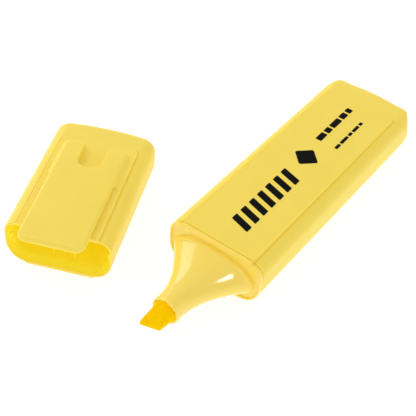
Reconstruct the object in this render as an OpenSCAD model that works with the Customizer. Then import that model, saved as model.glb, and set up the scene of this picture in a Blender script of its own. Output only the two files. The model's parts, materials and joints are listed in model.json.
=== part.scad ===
// Flat pocket highlighter, uncapped, with its cap lying beside it, clip side up.
// Frame: millimetres, origin at the middle of the body's resting face, +X towards the closed rear
// end, -X towards the nib, +Z up through the printed side.
// The cap is drawn in its own frame (mouth in the plane x = 0, closed end towards +x) and is put in
// place by in_cap_place().

/* [Body] */
// Length of the body, from the front of the nose's flange to the barrel's rear end
body_l = 78; // [72:1:90]
// Length of the cap, from its mouth to its closed end
cap_l = 41; // [40:1:44]
// Width of barrel and cap
body_w = 27; // [26:0.5:29]
// Thickness of barrel and cap, over both raised panels
body_t = 14; // [14:0.5:16]
// Moulded wall
wall = 1.2; // [1:0.1:1.3]
// Height of the raised panels
panel_h = 0.5; // [0.4:0.1:0.6]
// Distance of the barrel's panels from its rear end
barrel_margin = 6.5; // [5:0.5:8]
// Distance of the cap's panels from its closed end
cap_margin = 5.2; // [5:0.1:6]

/* [Nose] */
// Radius of the nose collar that the inner cap seals on
collar_r = 3.7; // [3.6:0.05:3.8]
// Distance of the collar's front from the flange's front
nose_l = 19; // [18:0.5:20]
// Thickness of the flange that carries on the barrel's outline
flange_l = 1.2; // [1:0.1:1.5]
// Half width of the cone at its base
cone_base_y = 11.6; // [11:0.1:11.8]
// Half thickness of the cone at its base
cone_base_z = 5.2; // [5:0.1:5.3]

/* [Nib] */
// Radius of the nib's round shaft
nib_r = 2.95; // [2.8:0.05:2.95]
// Width of the slanted writing edge
nib_edge_w = 4.8; // [4:0.2:5.4]
// Length of the nib in front of the collar
nib_out = 6.4; // [6:0.1:8]
// Slant of the writing edge
nib_slant = 16; // [0:1:30]

/* [Clip] */
// Width of the clip's plate
clip_w = 16.6; // [14:0.2:18]
// Thickness of the clip's blade
clip_t = 1.1; // [1:0.1:1.2]
// Distance that the blade reaches past the cap's mouth
clip_overhang = 5.7; // [4:0.1:7]
// Distance of the flex line from the cap's mouth
clip_flex_x = 17.5; // [16:0.5:20]
// Gap between blade and cap
clip_gap = 0.3; // [0.2:0.1:0.5]

/* [Arrangement] */
// Place of the middle of the cap's mouth, along and across the body
cap_at = [-60.1, 31.1]; // [-80:0.1:80]
// Turn of the cap on the table, from the body's direction
cap_yaw = 22.8; // [15:0.1:35]

/* [Hidden] */

shell_colour = [0.96, 0.86, 0.43];
glossy_colour = [0.97, 0.87, 0.42];
nib_colour = [0.98, 0.78, 0.05];
fibre_colour = [0.97, 0.88, 0.20];
film_colour = [0.95, 0.95, 0.90];
ink_black = [0.06, 0.06, 0.06];

// Outline of barrel and cap: tight corners at the print side, deep elliptical ones at the back
corner_top = 3.2;
corner_back_y = 5.1;
corner_back_z = 6.5;
arc_steps = 8;
barrel_corner = 6;
barrel_crown = 1.9;
cap_corner = 2.6;
cap_crown = 1.2;
end_edge = 1.9;
skin_low = panel_h;
skin_high = body_t - panel_h;
panel_top_y = body_w / 2 - corner_top;
panel_back_y = body_w / 2 - corner_back_y;
panel_corner = 2.4;
barrel_panel_crown = 1.1;
cap_panel_crown = 1.3;
sink = 0.4;

// Lengthwise stations of the body: flange front, seam between flange and barrel, rear end
fit_gap = 0.05;
slip = 0.02;
rim_x = -body_l / 2;
seam_x = rim_x + flange_l + fit_gap;
rear_x = body_l / 2;
barrel_l = rear_x - seam_x;
rear_wall = 1.6;

// Dish in the flange's front, round the foot of the cone
dish_depth = 0.5;
dish_edge = 0.65;

// Height of nib and nose above the resting face
axis_z = body_t / 2 - 0.3;

spigot_l = 10.4;
spigot_wall = 0.75;
collar_l = 2.8;
collar_round = 0.5;
nose_x = rim_x - nose_l;
nib_bore_r = nib_r + fit_gap;
vent_angles = [30, 90, 150, 270];
vent_w = 0.8;
vent_depth = 0.35;
nib_tip_x = nose_x - nib_out;
nib_tip_t = 1;
nib_rear_x = rim_x + 9;
loft_sides = 64;

filler_y = 5.8;
filler_r = 4.2;
filler_front = rim_x + 4.5;
filler_rear = rear_x - 4.2;
film_t = 0.15;

inner_cap_mouth = 15.6;
inner_cap_l = 14.4;
inner_cap_r = collar_r + 0.1;
inner_cap_wall = 1.1;
inner_cap_end = 1;

root_end = cap_l - 9.8;
notch_w = 6.5;
notch_front = root_end - 8.9;
notch_corner = 2.6;
mark_t = 0.04;

// Points of an elliptical arc round c, from angle a0 to a1
function arc(c, rx, ry, a0, a1, steps = arc_steps) =
    [for (i = [0 : steps]) let (a = a0 + (a1 - a0) * i / steps) [c[0] + rx * cos(a), c[1] + ry * sin(a)]];

// Cross-section of barrel and cap as [y, z], moved inwards by inset
function body_outline(inset) =
    let (top = corner_top - inset, back_y = corner_back_y - inset, back_z = corner_back_z - inset)
    concat(
        arc([panel_top_y, skin_high - corner_top], top, top, 0, 90),
        arc([-panel_top_y, skin_high - corner_top], top, top, 90, 180),
        arc([-panel_back_y, skin_low + corner_back_z], back_y, back_z, 180, 270),
        arc([panel_back_y, skin_low + corner_back_z], back_y, back_z, 270, 360)
    );

// Plan outline that runs from x = 0 to a crowned end at x = l, with rounded corners
function end_outline(l, half, corner, crown) =
    let (drop = crown * pow((half - corner) / half, 2), c = [l - drop - corner, half - corner])
    concat(
        [[0, -half]],
        arc([c[0], -c[1]], corner, corner, -90, 0),
        [for (i = [-5 : 5]) let (y = c[1] * i / 6) [l - crown * pow(y / half, 2), y]],
        arc(c, corner, corner, 0, 90),
        [[0, half]]
    );

// Side outline as [x, z] of a body of length l with rounded edges at its end
function side_outline(l, low, high, edge) =
    concat(
        [[0, low]],
        arc([l - edge, low + edge], edge, edge, -90, 0),
        arc([l - edge, high - edge], edge, edge, 0, 90),
        [[0, high]]
    );

// Draws a [y, z] outline along X from x0 to x1
module along_x(x0, x1) {
    translate([x0, 0, 0]) rotate([90, 0, 90]) linear_extrude(x1 - x0) children();
}

// Draws an [x, y] outline upwards from z0 to z1
module upwards(z0, z1) {
    translate([0, 0, z0]) linear_extrude(z1 - z0) children();
}

// Draws an [x, z] outline across Y, half a width to each side
module across_y(half) {
    translate([0, half, 0]) rotate([90, 0, 0]) linear_extrude(2 * half) children();
}

module in_cap_place() {
    translate([cap_at[0], cap_at[1], 0]) rotate([0, 0, cap_yaw]) children();
}

// Solid outer form of barrel or cap, from x = 0 to x = l, with both raised panels
module body_form(l, corner, crown, panel_l, panel_crown) {
    intersection() {
        along_x(0, l) polygon(body_outline(0));
        upwards(-1, body_t + 1) polygon(end_outline(l, body_w / 2, corner, crown));
        across_y(body_w) polygon(side_outline(l, skin_low, skin_high, end_edge));
    }
    upwards(skin_high - sink, body_t) polygon(end_outline(panel_l, panel_top_y, panel_corner, panel_crown));
    upwards(0, skin_low + sink) polygon(end_outline(panel_l, panel_back_y, panel_corner, panel_crown));
}

// Hollow of barrel or cap, open at x = 0
module body_hollow(l, end_wall, corner, crown) {
    intersection() {
        along_x(-1, l) polygon(body_outline(wall));
        upwards(-1, body_t + 1) translate([-1, 0])
            polygon(end_outline(l + 1 - end_wall, body_w / 2 - wall, corner, crown));
    }
}

// Four ribs that centre the filler and two webs that stop it at the rear
module barrel_ribs() {
    rib_w = 1;
    rib_h = 0.85;
    rib_from = rim_x + 16;
    low = skin_low + wall;
    high = skin_high - wall;
    for (y = [-filler_y, filler_y]) {
        translate([rib_from, y - rib_w / 2, low - sink]) cube([filler_rear - rib_from, rib_w, rib_h + sink]);
        translate([rib_from, y - rib_w / 2, high - rib_h]) cube([filler_rear - rib_from, rib_w, rib_h + sink]);
    }
    for (y = [-filler_y / 2, filler_y / 2]) {
        translate([filler_rear + 0.2, y - rib_w / 2, low - sink])
            cube([rear_x - rear_wall - filler_rear + sink, rib_w, high - low + 2 * sink]);
    }
}

module barrel_shell() {
    color(shell_colour) union() {
        translate([seam_x, 0, 0]) difference() {
            body_form(barrel_l, barrel_corner, barrel_crown, barrel_l - barrel_margin, barrel_panel_crown);
            body_hollow(barrel_l, rear_wall, barrel_corner - wall, barrel_crown);
        }
        barrel_ribs();
    }
}

// Solid skinned over elliptical rings, each given as [x, half width, half thickness]
module loft(rings) {
    count = len(rings);
    points = [for (ring = rings) for (i = [0 : loft_sides - 1]) let (a = 360 * i / loft_sides)
        [ring[0], ring[1] * cos(a), axis_z + ring[2] * sin(a)]];
    sides = [for (k = [0 : count - 2]) for (i = [0 : loft_sides - 1]) let (j = (i + 1) % loft_sides)
        [k * loft_sides + i, (k + 1) * loft_sides + i, (k + 1) * loft_sides + j, k * loft_sides + j]];
    first = [for (i = [0 : loft_sides - 1]) i];
    last = [for (i = [0 : loft_sides - 1]) count * loft_sides - 1 - i];
    polyhedron(points, concat([first], sides, [last]));
}

// Rings of the cone at share t of the way from the collar (0) to the base (1), thinned by skin
function cone_rings(x0, x1, base_y, base_z, skin, steps) =
    [for (i = [0 : steps]) let (t = i / steps)
        [x0 + (x1 - x0) * t, collar_r - skin + (base_y - collar_r) * pow(t, 1.7),
         collar_r - skin + (base_z - collar_r) * pow(t, 4.5)]];

// Flange in the barrel's outline, with both raised panels, dished round the cone
module flange() {
    difference() {
        union() {
            along_x(rim_x, rim_x + flange_l) polygon(body_outline(0));
            translate([rim_x, -panel_top_y, skin_high - sink]) cube([flange_l, 2 * panel_top_y, panel_h + sink]);
            translate([rim_x, -panel_back_y, 0]) cube([flange_l, 2 * panel_back_y, panel_h + sink]);
        }
        along_x(rim_x - 1, rim_x + dish_depth) polygon(body_outline(dish_edge));
    }
}

// Sleeve that plugs into the barrel
module spigot() {
    along_x(rim_x + dish_depth + 0.1, rim_x + flange_l + spigot_l) difference() {
        polygon(body_outline(wall + fit_gap));
        polygon(body_outline(wall + fit_gap + spigot_wall));
    }
}

// Front piece: collar, cone, flange and spigot
module section() {
    cone_front = nose_x + collar_l + 0.2;
    cone_back = rim_x - 0.9;
    color(glossy_colour) difference() {
        union() {
            loft(concat(
                [[cone_front - 1, collar_r - 0.3, collar_r - 0.3]],
                cone_rings(cone_front, cone_back, cone_base_y - 0.5, cone_base_z - 0.25, 0, 16),
                [[rim_x - 0.7, cone_base_y - 0.15, cone_base_z - 0.06], [rim_x - 0.4, cone_base_y, cone_base_z],
                 [rim_x + dish_depth + 0.3, cone_base_y, cone_base_z]]));
            translate([nose_x, 0, axis_z]) rotate([0, 90, 0]) rotate_extrude($fn = 96) polygon(concat(
                [[0, 0]],
                arc([collar_r - collar_round, collar_round], collar_round, collar_round, -90, 0),
                [[collar_r, collar_l], [0, collar_l]]));
            flange();
            spigot();
        }
        // Hollow of the cone, the bore that grips the nib and the vent slots round it
        loft(concat(
            cone_rings(nose_x + 9, cone_back, cone_base_y - 0.6, cone_base_z - 0.2, 0.75, 10),
            [[rim_x + flange_l + 1, cone_base_y - 1.3, cone_base_z - 0.9]]));
        translate([nose_x - 1, 0, axis_z]) rotate([0, 90, 0]) cylinder(h = 14, r = nib_bore_r, $fn = 96);
        for (a = vent_angles) {
            translate([nose_x - 1, 0, axis_z]) rotate([a, 0, 0]) translate([0, 0, -vent_w / 2])
                cube([11, nib_bore_r + vent_depth, vent_w]);
        }
    }
}

// Round felt rod, cut to a wedge with a slanted writing edge
module nib() {
    wedge_x = nose_x - 0.4;
    edge_y = nib_edge_w / 2;
    edge_dx = edge_y * tan(nib_slant);
    color(nib_colour) union() {
        intersection() {
            translate([nib_tip_x - 1, 0, axis_z]) rotate([0, 90, 0])
                cylinder(h = nib_rear_x - 2 - nib_tip_x + 1, r = nib_r, $fn = 96);
            across_y(nib_r + 1) polygon([
                [nib_tip_x - 0.1, axis_z - nib_tip_t / 2], [wedge_x, axis_z - nib_r], [nib_rear_x, axis_z - nib_r],
                [nib_rear_x, axis_z + nib_r], [wedge_x, axis_z + nib_r], [nib_tip_x - 0.1, axis_z + nib_tip_t / 2]]);
            upwards(0, body_t) polygon([
                [nib_tip_x, edge_y], [nib_tip_x + 2 * edge_dx, -edge_y], [wedge_x, -nib_r], [nib_rear_x, -nib_r],
                [nib_rear_x, nib_r], [wedge_x, nib_r]]);
        }
        translate([nib_rear_x - 2, 0, axis_z]) rotate([0, 90, 0]) cylinder(h = 2, r1 = nib_r, r2 = nib_r - 1, $fn = 96);
    }
}

// Flat oval of the filler, as wide as it was drawn plus grow all round
module filler_outline(grow) {
    translate([-filler_y, body_t / 2]) circle(r = filler_r + grow, $fn = 64);
    translate([filler_y, body_t / 2]) circle(r = filler_r + grow, $fn = 64);
    translate([-filler_y, body_t / 2 - filler_r - grow]) square([2 * filler_y, 2 * (filler_r + grow)]);
}

module ink_reservoir() {
    color(fibre_colour) difference() {
        along_x(filler_front, filler_rear) filler_outline(0);
        translate([filler_front - 1, 0, axis_z]) rotate([0, 90, 0])
            cylinder(h = nib_rear_x - filler_front + 1, r = nib_r + slip, $fn = 96);
    }
}

module reservoir_film() {
    color(film_colour) along_x(filler_front + 1, filler_rear - 1) difference() {
        filler_outline(film_t);
        filler_outline(0);
    }
}

// Upright or slanted bar with its lower corner at [x, y] behind the flange's front
module bar(x, y, w, h, slant = 0) {
    shift = slant * h;
    translate([rim_x + x, y]) polygon([[0, 0], [w, 0], [w + shift, h], [shift, h]]);
}

// Row of bars of the given widths, a gap apart
module bar_row(x, y, widths, gap, h) {
    for (i = [0 : len(widths) - 1]) {
        before = i == 0 ? 0 : [for (k = [0 : i - 1]) widths[k] + gap] * [for (k = [0 : i - 1]) 1];
        bar(x + before, y, widths[i], h);
    }
}

// Printed ink: seven slanted bars, a diamond and two rows of short bars
module print_marks() {
    diamond = 3.6;
    color(ink_black) upwards(body_t, body_t + mark_t) {
        for (i = [0 : 6]) bar(7.9 + 3.6 * i, -3.6, 2.1, 5.6, 0.286);
        translate([rim_x + 40.5, 0]) polygon([[-diamond, 0], [0, -diamond], [diamond, 0], [0, diamond]]);
        bar_row(48.5, 0.4, [3.4, 2.2, 4.2, 2.6, 1.8], 0.7, 1.8);
        bar_row(48.5, -4.6, [2.2, 3.6, 1.6, 3, 1.4], 0.55, 0.9);
    }
}

// Two ribs on the cap's back wall and a snap bead on each side wall, just inside the mouth
module cap_inside() {
    rib_w = 0.6;
    rib_h = 0.9;
    bead_r = 0.7;
    for (y = [-2.75, 2.75]) {
        translate([4, y - rib_w / 2, skin_low + wall - sink]) cube([inner_cap_mouth - 4.3, rib_w, rib_h + sink]);
    }
    for (side = [-1, 1]) {
        translate([1.6, side * (body_w / 2 - wall), body_t / 2 + 0.6]) sphere(r = bead_r, $fn = 32);
    }
}

// Fixed root of the clip: two legs with a U-shaped notch between them, open at the rear
module clip_root() {
    upwards(body_t - sink, body_t + clip_gap + clip_t) difference() {
        translate([clip_flex_x, -clip_w / 2]) square([root_end - clip_flex_x, clip_w]);
        translate([notch_front + notch_corner, -notch_w / 2]) square([cap_l, notch_w]);
        translate([notch_front, -notch_w / 2 + notch_corner])
            square([notch_corner + 1, notch_w - 2 * notch_corner]);
        for (side = [-1, 1]) {
            translate([notch_front + notch_corner, side * (notch_w / 2 - notch_corner)])
                circle(r = notch_corner, $fn = 48);
        }
    }
}

module cap_shell() {
    color(shell_colour) in_cap_place() union() {
        difference() {
            body_form(cap_l, cap_corner, cap_crown, cap_l - cap_margin, cap_panel_crown);
            body_hollow(cap_l, wall + 0.2, cap_corner - wall, cap_crown);
        }
        cap_inside();
        clip_root();
    }
}

// Sealing cup inside the cap, held by a plate across the cap's hollow
module inner_cap() {
    outer_r = inner_cap_r + inner_cap_wall;
    plate_t = 1.2;
    lead_in = 0.5;
    color(shell_colour) in_cap_place() difference() {
        union() {
            along_x(inner_cap_mouth, inner_cap_mouth + plate_t) polygon(body_outline(wall + fit_gap));
            translate([inner_cap_mouth, 0, axis_z]) rotate([0, 90, 0])
                cylinder(h = inner_cap_l + inner_cap_end, r = outer_r, $fn = 96);
        }
        translate([inner_cap_mouth - 1, 0, axis_z]) rotate([0, 90, 0])
            cylinder(h = inner_cap_l + 1, r = inner_cap_r, $fn = 96);
        translate([inner_cap_mouth - 0.01, 0, axis_z]) rotate([0, 90, 0])
            cylinder(h = lead_in, r1 = inner_cap_r + lead_in, r2 = inner_cap_r, $fn = 96);
    }
}

// Springy blade of the clip, from the flex line to its free end past the mouth
module clip() {
    corner = 2;
    low = body_t + clip_gap;
    free_x = -clip_overhang;
    color(shell_colour) in_cap_place() upwards(low, low + clip_t) {
        translate([free_x + corner, -clip_w / 2]) square([clip_flex_x - fit_gap - free_x - corner, clip_w]);
        translate([free_x, -clip_w / 2 + corner]) square([corner + 1, clip_w - 2 * corner]);
        for (side = [-1, 1]) {
            translate([free_x + corner, side * (clip_w / 2 - corner)]) circle(r = corner, $fn = 48);
        }
    }
}

barrel_shell();
section();
nib();
ink_reservoir();
reservoir_film();
print_marks();
cap_shell();
inner_cap();
clip();
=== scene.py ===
"""Looks of a flat yellow highlighter: smooth moulded shells, felt nib, printed marks, studio."""

import json
import math

import bmesh
import bpy
import numpy as np
from mathutils import Matrix, Vector
from mathutils.geometry import delaunay_2d_cdt


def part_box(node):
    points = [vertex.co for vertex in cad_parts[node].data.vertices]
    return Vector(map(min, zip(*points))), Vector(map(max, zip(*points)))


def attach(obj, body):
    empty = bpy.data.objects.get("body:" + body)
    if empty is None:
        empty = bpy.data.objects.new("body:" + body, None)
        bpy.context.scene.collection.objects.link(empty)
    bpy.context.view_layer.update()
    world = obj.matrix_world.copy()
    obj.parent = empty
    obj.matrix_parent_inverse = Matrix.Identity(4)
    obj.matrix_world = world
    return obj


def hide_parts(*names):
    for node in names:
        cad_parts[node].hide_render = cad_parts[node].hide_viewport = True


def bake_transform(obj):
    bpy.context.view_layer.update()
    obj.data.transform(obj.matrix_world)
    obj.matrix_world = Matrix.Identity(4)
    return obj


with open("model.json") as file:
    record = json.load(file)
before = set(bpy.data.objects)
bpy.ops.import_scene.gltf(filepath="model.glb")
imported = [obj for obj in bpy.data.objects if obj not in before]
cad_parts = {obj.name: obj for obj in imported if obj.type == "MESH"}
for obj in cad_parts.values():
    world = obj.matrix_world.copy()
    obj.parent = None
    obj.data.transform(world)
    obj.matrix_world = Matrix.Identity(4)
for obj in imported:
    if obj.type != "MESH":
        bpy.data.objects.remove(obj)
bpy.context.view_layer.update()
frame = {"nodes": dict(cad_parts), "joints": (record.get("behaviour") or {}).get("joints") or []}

# Sizes are in millimetres, and MM turns them into the frame's metres.
MM = 0.001

# Flange of the nose, and the seam between it and the barrel
FLANGE_L = 1.2
SEAM_GAP = 0.05
SEAM_AT = FLANGE_L + SEAM_GAP

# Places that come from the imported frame. RIM_X is the front of the flange.
barrel_low, barrel_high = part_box("barrel_shell")
RIM_X = barrel_low.x / MM - SEAM_AT
BODY_L = barrel_high.x / MM - RIM_X
BODY_W = (barrel_high.y - barrel_low.y) / MM
BODY_T = (barrel_high.z - barrel_low.z) / MM
nib_low, nib_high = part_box("nib")
NIB_TIP_X = nib_low.x / MM
AXIS_Z = (nib_low.z + nib_high.z) / 2 / MM
NOSE_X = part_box("section")[0].x / MM
CLIP_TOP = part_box("clip")[1].z / MM
joints = {joint["name"]: joint for joint in frame["joints"]}

# Cross-section that the barrel and the cap share
PANEL_H = 0.5
WALL = 1.2
CORNER_TOP = 3.2
CORNER_BACK_Y = 5.1
CORNER_BACK_Z = 6.5
PANEL_CORNER = 2.4
HALF_W = BODY_W / 2
LOW_Z = PANEL_H
HIGH_Z = BODY_T - PANEL_H
MID_Z = BODY_T / 2
PANEL_TOP_Y = HALF_W - CORNER_TOP
PANEL_BACK_Y = HALF_W - CORNER_BACK_Y

# Cap, in its own frame: c from the mouth to the closed end, v across, z up
CAP_L = 41.0
CLIP_FLEX_C = 17.5
CLIP_FREE_C = -5.7
CLIP_HALF_W = 8.3
CLIP_GAP = 0.3
ROOT_END_C = CAP_L - 9.8
NOTCH_C = ROOT_END_C - 8.9
NOTCH_HALF = 3.25
CUP_MOUTH_C = 15.6
CUP_L = 14.4
CUP_R = 3.8


def smooth(t):
    """Eases from 0 to 1 as t goes from 0 to 1."""
    t = np.clip(t, 0.0, 1.0)
    return t * t * (3.0 - 2.0 * t)


# ---------------------------------------------------------------- placing and mesh helpers


def cap_matrix():
    """Turns the cap's own frame into the row frame."""
    across = Vector(joints["clip_flex"]["axis"]).normalized()
    along = Vector((across.y, -across.x, 0.0))
    hinge = Vector(joints["clip_flex"]["pos_m"])
    origin = hinge - along * CLIP_FLEX_C * MM
    origin.z = 0.0
    return Matrix.Translation(origin) @ Matrix(
        (
            (along.x, across.x, 0.0, 0.0),
            (along.y, across.y, 0.0, 0.0),
            (0.0, 0.0, 1.0, 0.0),
            (0.0, 0.0, 0.0, 1.0),
        )
    )


def mesh_object(name, verts, faces, place=None, sharp_deg=38.0):
    """A smooth-shaded object from points in millimetres."""
    mesh = bpy.data.meshes.new(name)
    mesh.from_pydata([tuple(v) for v in np.asarray(verts, float) * MM], [], faces)
    made = bmesh.new()
    made.from_mesh(mesh)
    bmesh.ops.remove_doubles(made, verts=made.verts, dist=1e-7)
    bmesh.ops.recalc_face_normals(made, faces=made.faces)
    made.to_mesh(mesh)
    made.free()
    if place is not None:
        mesh.transform(place)
    mesh.shade_smooth()
    mesh.set_sharp_from_angle(angle=math.radians(sharp_deg))
    obj = bpy.data.objects.new(name, mesh)
    bpy.context.scene.collection.objects.link(obj)
    return obj


def loft(rings, first_pole=None, last_pole=None, close=False):
    """Vertices and faces of a skin over rings of equal count, shut by fans to the poles."""
    count = len(rings[0])
    verts = [point for ring in rings for point in ring]
    spans = len(rings) if close else len(rings) - 1
    faces = []
    for k in range(spans):
        a = k * count
        b = (k + 1) % len(rings) * count
        for i in range(count):
            j = (i + 1) % count
            faces.append((a + i, a + j, b + j, b + i))
    for pole, start in ((first_pole, 0), (last_pole, (len(rings) - 1) * count)):
        if pole is None:
            continue
        verts.append(pole)
        for i in range(count):
            faces.append((start + i, start + (i + 1) % count, len(verts) - 1))
    return verts, faces


# ---------------------------------------------------------------- shell section


def spread(start, stop, step):
    """Values from start to stop in even steps of about the given size."""
    count = max(1, round(abs(stop - start) / step))
    return list(np.linspace(start, stop, count + 1))


# Distances inside a panel's edge, and either side of a rib's middle, where the surface needs a station
EDGE_STEPS = [0.0, 0.04, 0.09, 0.14, 0.2, 0.28, 0.4, 0.55, 0.75]
RIB_Y = 2.75
RIB_STEPS = [-0.6, -0.4, -0.31, -0.24, -0.12, 0.0, 0.12, 0.24, 0.31, 0.4, 0.6]


def flat_stations(edge, with_ribs):
    """Stations across one flat side, from the middle out to its panel's edge."""
    near = [edge - step for step in reversed(EDGE_STEPS)]
    corner = spread(edge - 2.6, edge - 0.95, 0.2)
    if with_ribs:
        inner = [0.0, 0.6, 1.2, 1.7] + [RIB_Y + step for step in RIB_STEPS] + [3.8, 4.4, 5.0, 5.5]
    else:
        inner = spread(0.0, edge - 3.0, 0.6)
    return inner + corner + near


def section_half():
    """Rows of (y, z, normal y, normal z) from the middle of the top to the middle of the back."""
    rows = [(y, HIGH_Z, 0.0, 1.0) for y in flat_stations(PANEL_TOP_Y, False)]
    for a in np.radians([89, 88, 87, 86, 84.5] + list(np.linspace(82, 0, 14))):
        rows.append(
            (
                PANEL_TOP_Y + CORNER_TOP * math.cos(a),
                HIGH_Z - CORNER_TOP + CORNER_TOP * math.sin(a),
                math.cos(a),
                math.sin(a),
            )
        )
    for z in spread(HIGH_Z - CORNER_TOP, LOW_Z + CORNER_BACK_Z, 0.2)[1:-1]:
        rows.append((HALF_W, z, 1.0, 0.0))
    for a in np.radians(list(np.linspace(0, -86, 27)) + [-87, -88, -89]):
        ny, nz = math.cos(a) / CORNER_BACK_Y, math.sin(a) / CORNER_BACK_Z
        size = math.hypot(ny, nz)
        rows.append(
            (
                PANEL_BACK_Y + CORNER_BACK_Y * math.cos(a),
                LOW_Z + CORNER_BACK_Z + CORNER_BACK_Z * math.sin(a),
                ny / size,
                nz / size,
            )
        )
    rows += [(y, LOW_Z, 0.0, -1.0) for y in reversed(flat_stations(PANEL_BACK_Y, True))]
    return rows


def section_ring():
    """The whole section as arrays, clockwise from the middle of the top."""
    half = section_half()
    other = [(-y, z, -ny, nz) for y, z, ny, nz in reversed(half[1:-1])]
    return np.array(half + other).T


SEC_Y, SEC_Z, SEC_NY, SEC_NZ = section_ring()
ON_TOP = SEC_NZ > 0.99
ON_BACK = SEC_NZ < -0.99


# Rise of a panel's edge against the distance inside its outline: a fine groove, the step, a slight ridge
EDGE_AT = (-0.32, -0.22, -0.12, -0.03, 0.03, 0.09, 0.15, 0.22, 0.32, 0.5, 0.8)
EDGE_RISE = (0.0, -0.3, -0.5, -0.4, 0.1, 0.62, 0.94, 1.07, 1.09, 1.03, 1.0)


def panel_height(row, y, half, end):
    """Height of a raised panel: nothing outside its rounded outline, PANEL_H inside it."""
    dx = row - (end - PANEL_CORNER)
    dy = np.abs(y) - (half - PANEL_CORNER)
    round_corner = PANEL_CORNER - np.hypot(np.maximum(dx, 0.0), np.maximum(dy, 0.0))
    straight = np.minimum(end - row, half - np.abs(y))
    inside = np.where((dx > 0) & (dy > 0), round_corner, straight)
    return PANEL_H * np.interp(inside, EDGE_AT, EDGE_RISE)


def section_points(x, inset=0.0, raise_top=0.0, raise_back=0.0, shrink_y=0.0, shrink_z=0.0):
    """A ring of the section at x, moved in along its normals and drawn in towards its middle."""
    y = SEC_Y - SEC_NY * inset
    z = SEC_Z - SEC_NZ * inset
    z = z + np.where(ON_TOP, raise_top, 0.0) - np.where(ON_BACK, np.minimum(raise_back, PANEL_H), 0.0)
    y = y * (1.0 - shrink_y / HALF_W)
    z = MID_Z + (z - MID_Z) * (1.0 - shrink_z / (HIGH_Z - MID_Z))
    return np.column_stack([np.broadcast_to(x, y.shape), y, z])


# Rounding of a closed end: along its top and back edges outside, and all round the hollow
END_EDGE = 1.9
HOLLOW_ROUND = 1.6


class Shell:
    """A moulded box, open at its front and closed by a crowned end at x = length.

    corner and low_corner round the end in plan, at the top and at the back. crown and panel_crown
    set how far the end and the panel's edge curve back towards the sides. margin is the distance
    between the panel's edge and the end.
    """

    def __init__(self, length, corner, low_corner, crown, margin, panel_crown, end_wall):
        self.length = length
        self.corner = corner
        self.low_corner = low_corner
        self.crown = crown / HALF_W**2
        self.panel_end = length - margin
        self.panel_crown = panel_crown / PANEL_TOP_Y**2
        self.end_wall = end_wall

    def sag(self, row, y, limit):
        """How far a row bends back towards the mouth at y."""
        end = self.panel_end
        bend = np.interp(
            row,
            [end - 16.0, end - 3.0, end + 0.6, self.length - 2.0],
            [0.0, self.panel_crown, self.panel_crown, self.crown],
        )
        return bend * np.minimum(np.abs(y), limit) ** 2

    def outer(self, rows, front_inset, pocket=None):
        """Rings from the mouth to the middle of the closed end, with a pocket sunk in the top."""
        limit = HALF_W - self.corner
        rings = []
        for row in rows:
            top = panel_height(row, SEC_Y, PANEL_TOP_Y, self.panel_end)
            back = panel_height(row, SEC_Y, PANEL_BACK_Y, self.panel_end)
            if pocket is not None:
                top = top - pocket(row, SEC_Y)
            x = row - self.sag(row, SEC_Y, limit)
            rings.append(section_points(x, front_inset(row), top, back))
        corner = self.low_corner + (self.corner - self.low_corner) * smooth((SEC_Z - MID_Z) / 5.5)
        reach = END_EDGE + (corner - END_EDGE) * SEC_NY**2
        for a in np.radians(np.linspace(0, 90, 13)):
            shrink_y = corner * (1.0 - math.cos(a))
            shrink_z = END_EDGE * (1.0 - math.cos(a))
            ring = section_points(0.0, shrink_y=shrink_y, shrink_z=shrink_z)
            ring[:, 0] = self.length - reach * (1.0 - math.sin(a))
            ring[:, 0] -= self.sag(self.length, ring[:, 1], limit)
            rings.append(ring)
        return rings + self.shut(rings[-1], self.length)

    def shut(self, last, x_end):
        """Rings that close an end face inwards from its border."""
        rings = []
        for share in (0.93, 0.8, 0.6, 0.4, 0.2, 0.08):
            ring = last.copy()
            ring[:, 1] *= share
            ring[:, 2] = MID_Z + (ring[:, 2] - MID_Z) * share
            ring[:, 0] = x_end - self.sag(self.length, ring[:, 1], HALF_W)
            rings.append(ring)
        return rings

    def inner(self, rows, inset, lift):
        """Rings of the hollow from the mouth to the middle of its end."""
        x_end = self.length - self.end_wall
        rings = []
        for row in rows:
            ring = section_points(row, inset(row))
            rings.append(lift(row, ring))
        base = inset(x_end)
        for a in np.radians(np.linspace(0, 90, 6)):
            drawn = HOLLOW_ROUND * (1.0 - math.cos(a))
            ring = section_points(0.0, base, shrink_y=drawn, shrink_z=drawn)
            reach = HOLLOW_ROUND * (1.0 - math.sin(a))
            ring[:, 0] = x_end - reach - self.sag(self.length, ring[:, 1], HALF_W)
            rings.append(ring)
        return rings + self.shut(rings[-1], x_end)


def edge_rows(end):
    """Rows that lie close together where a panel ends."""
    near = [end - step for step in reversed(EDGE_STEPS)]
    return spread(end - 3.0, end - 0.95, 0.2) + near + [end + 0.07, end + 0.14, end + 0.23, end + 0.34]


def rim_inset(depth, outer_round):
    """How far the outside draws in over a rounded rim."""
    left = np.clip(outer_round - depth, 0.0, outer_round)
    return outer_round - math.sqrt(max(outer_round**2 - left**2, 0.0))


def rim_rings(x_rim, outer_round, inner_inset, inner_round):
    """Rings across a rim, from its outer rounding to its inner one."""
    rings = []
    for share in (0.25, 0.5, 0.75):
        inset = outer_round + (inner_inset - inner_round - outer_round) * share
        rings.append(section_points(x_rim, inset, PANEL_H, PANEL_H))
    for a in np.radians(np.linspace(0, 90, 6)):
        inset = inner_inset - inner_round * (1.0 - math.sin(a))
        x = x_rim + inner_round * (1.0 - math.cos(a))
        lift = PANEL_H * (1.0 - (a / math.radians(90)))
        rings.append(section_points(x, inset, lift, lift))
    return rings


# ---------------------------------------------------------------- barrel

SEAM_ROUND = 0.12
INNER_ROUND = 0.1


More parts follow.
